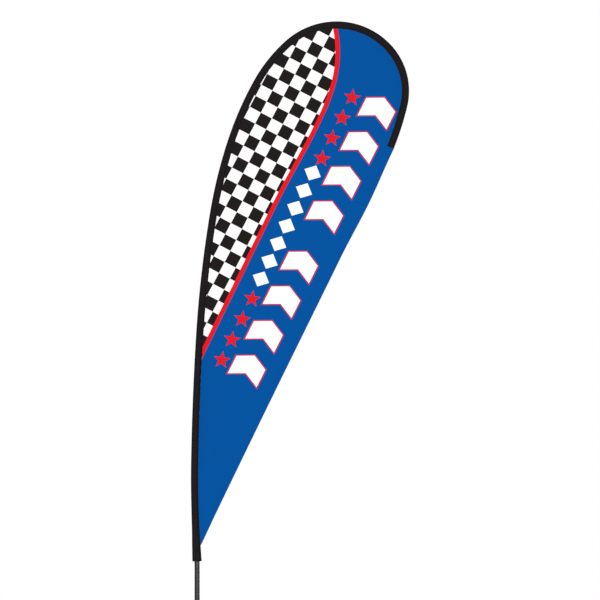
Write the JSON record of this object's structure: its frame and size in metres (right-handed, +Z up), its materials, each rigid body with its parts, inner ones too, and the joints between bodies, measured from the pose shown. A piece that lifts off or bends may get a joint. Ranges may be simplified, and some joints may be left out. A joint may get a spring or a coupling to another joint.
{
  "type": "teardrop flag",
  "caption": "Free-turning teardrop banner: bent sectional pole in a cloth sleeve with a printed panel, on a ball-bearing spindle and ground spike.",
  "frame": {"origin": "on the pole's axis at ground level, where the spike's rod meets the foot plate's underside", "axes": "+Z up along the spike and spindle, +X from the pole towards the belly of the flag, +Y away from a viewer who sees the belly on the right"},
  "size_m": [0.882, 0.14, 3.1787],
  "materials": {
    "black_steel": "black powder coat, fine texture",
    "bright_steel": "turned and zinc plated",
    "bearing_steel": "ground and polished",
    "cage_nylon": "natural moulded nylon",
    "black_rubber": "matt moulded rubber",
    "black_aluminium": "satin black anodised tube",
    "ferrule_aluminium": "plain turned",
    "black_fibreglass": "pultruded, resin-rich surface",
    "black_plastic": "moulded, fine grain",
    "black_webbing": "woven nylon webbing",
    "sleeve_cloth": "black elastic polyester, close weave",
    "panel_print": "knitted polyester, dye printed right through"
  },
  "bodies": {
    "ground_base": {"spike_rod": "black_steel", "foot_plate": "black_steel", "gussets": "black_steel", "bearing_housing": "black_steel", "lower_bearing_outer_ring": "bearing_steel", "upper_bearing_outer_ring": "bearing_steel", "outer_spacer": "bright_steel", "housing_snap_ring": "bright_steel", "upper_bearing_seal": "black_rubber"},
    "lower_ball_set": {"lower_bearing_balls": "bearing_steel", "lower_bearing_cage": "cage_nylon"},
    "upper_ball_set": {"upper_bearing_balls": "bearing_steel", "upper_bearing_cage": "cage_nylon"},
    "rotator": {"spindle_shaft": "bright_steel", "lower_bearing_inner_ring": "bearing_steel", "upper_bearing_inner_ring": "bearing_steel", "inner_spacer": "bright_steel", "shaft_snap_ring": "bright_steel", "dust_cap": "black_rubber", "o_rings": "black_rubber"},
    "pole_and_flag": {"pole_end_ring": "black_plastic", "base_section": "black_aluminium", "base_ferrule": "ferrule_aluminium", "second_section": "black_fibreglass", "second_ferrule": "ferrule_aluminium", "third_section": "black_fibreglass", "third_ferrule": "ferrule_aluminium", "tip_section": "black_fibreglass", "tip_cap": "black_rubber", "tension_collar": "black_plastic", "tension_loop": "black_webbing", "pole_sleeve": "sleeve_cloth", "sleeve_mouth_hem": "sleeve_cloth", "sleeve_end_patch": "sleeve_cloth", "tip_pocket": "black_webbing", "printed_panel": "panel_print", "leech_hem": "panel_print"}
  },
  "joints": [
    {"name": "swivel", "type": "hinge", "parent": "ground_base", "child": "rotator", "pos_m": [0, 0, 0.023], "axis": [0, 0, 1], "continuous": true},
    {"name": "lower_ball_orbit", "type": "hinge", "parent": "ground_base", "child": "lower_ball_set", "pos_m": [0, 0, 0.014], "axis": [0, 0, 1], "continuous": true},
    {"name": "upper_ball_orbit", "type": "hinge", "parent": "ground_base", "child": "upper_ball_set", "pos_m": [0, 0, 0.032], "axis": [0, 0, 1], "continuous": true},
    {"name": "pole_lift", "type": "slide", "parent": "rotator", "child": "pole_and_flag", "axis": [0, 0, 1], "range_m": [0, 0.26]}
  ],
  "couplings": [
    {"joint": "lower_ball_orbit", "follows": "swivel", "ratio": 0.381},
    {"joint": "upper_ball_orbit", "follows": "swivel", "ratio": 0.381}
  ]
}
